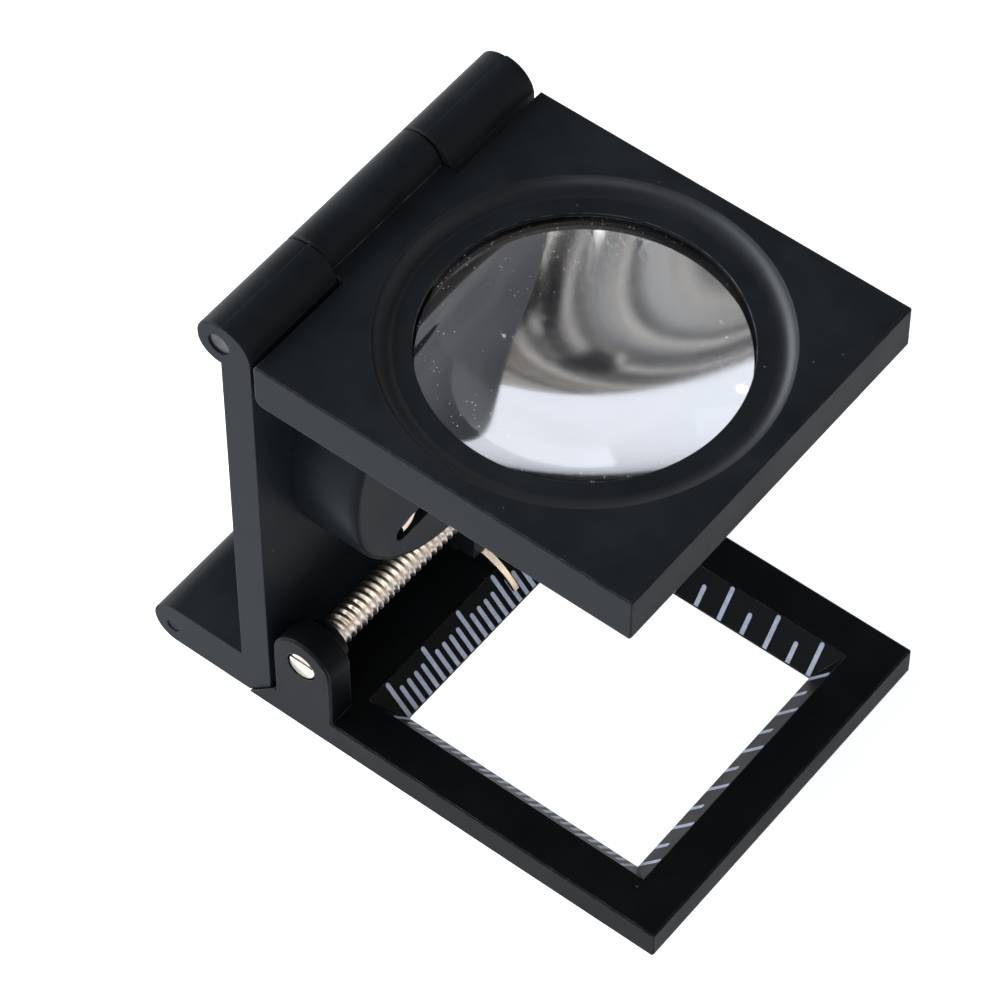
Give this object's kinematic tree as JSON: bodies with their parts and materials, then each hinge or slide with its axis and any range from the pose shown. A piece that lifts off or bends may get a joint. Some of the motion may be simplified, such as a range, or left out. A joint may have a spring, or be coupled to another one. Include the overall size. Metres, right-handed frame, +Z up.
{
  "type": "folding linen tester",
  "caption": "Folding black metal loupe on a graduated window base, with hinged lens plate, lead-screw pointer and lamp housing.",
  "frame": {"origin": "underside of the base, middle of the width, under the front face of the upright", "axes": "+X across the width towards the knob, -Y to the front, +Z up"},
  "size_m": [0.0428, 0.0559, 0.0505],
  "materials": {
    "black_plate": "satin black coating",
    "black_housing": "satin black coating",
    "steel_pin": "turned",
    "nickel_screw": "plated, bright",
    "knurled_knob": "plated, knurled",
    "brass": "polished",
    "copper": "bare wire",
    "optical_glass": "polished",
    "cell_steel": "plain"
  },
  "bodies": {
    "base": {"base_plate": "black_plate"},
    "upright": {"upright_frame": "black_plate", "foot_pin": "black_plate", "lens_hinge_pin": "steel_pin", "lamp_housing": "black_housing", "lamp_contact_lower": "copper", "lamp_contact_upper": "copper", "lamp_cell": "cell_steel", "housing_screw_left": "steel_pin", "housing_screw_right": "steel_pin"},
    "lens_leaf": {"lens_plate": "black_plate", "lens": "optical_glass", "lens_ring": "black_housing"},
    "screw": {"lead_screw": "nickel_screw", "screw_knob": "knurled_knob", "knob_grub_screw": "steel_pin"},
    "pointer": {"pointer_nut": "black_housing", "pointer_needle": "brass", "pointer_rivet_left": "brass", "pointer_rivet_right": "brass"}
  },
  "joints": [
    {"name": "upright_fold", "type": "hinge", "parent": "base", "child": "upright", "pos_m": [0, -0.0039, 0.0091], "axis": [1, 0, 0], "range_deg": [0, 90]},
    {"name": "lens_fold", "type": "hinge", "parent": "upright", "child": "lens_leaf", "pos_m": [0, 0.0033, 0.0481], "axis": [-1, 0, 0], "range_deg": [0, 265]},
    {"name": "screw_turn", "type": "hinge", "parent": "base", "child": "screw", "pos_m": [0, -0.0039, 0.0091], "axis": [1, 0, 0], "range_deg": [-3241, 7201]},
    {"name": "pointer_slide", "type": "slide", "parent": "base", "child": "pointer", "axis": [1, 0, 0], "range_m": [-0.015, 0.00675]}
  ],
  "couplings": [
    {"joint": "lens_fold", "follows": "upright_fold", "ratio": 2.944},
    {"joint": "screw_turn", "follows": "pointer_slide", "rad_per_m": -8377.6}
  ]
}
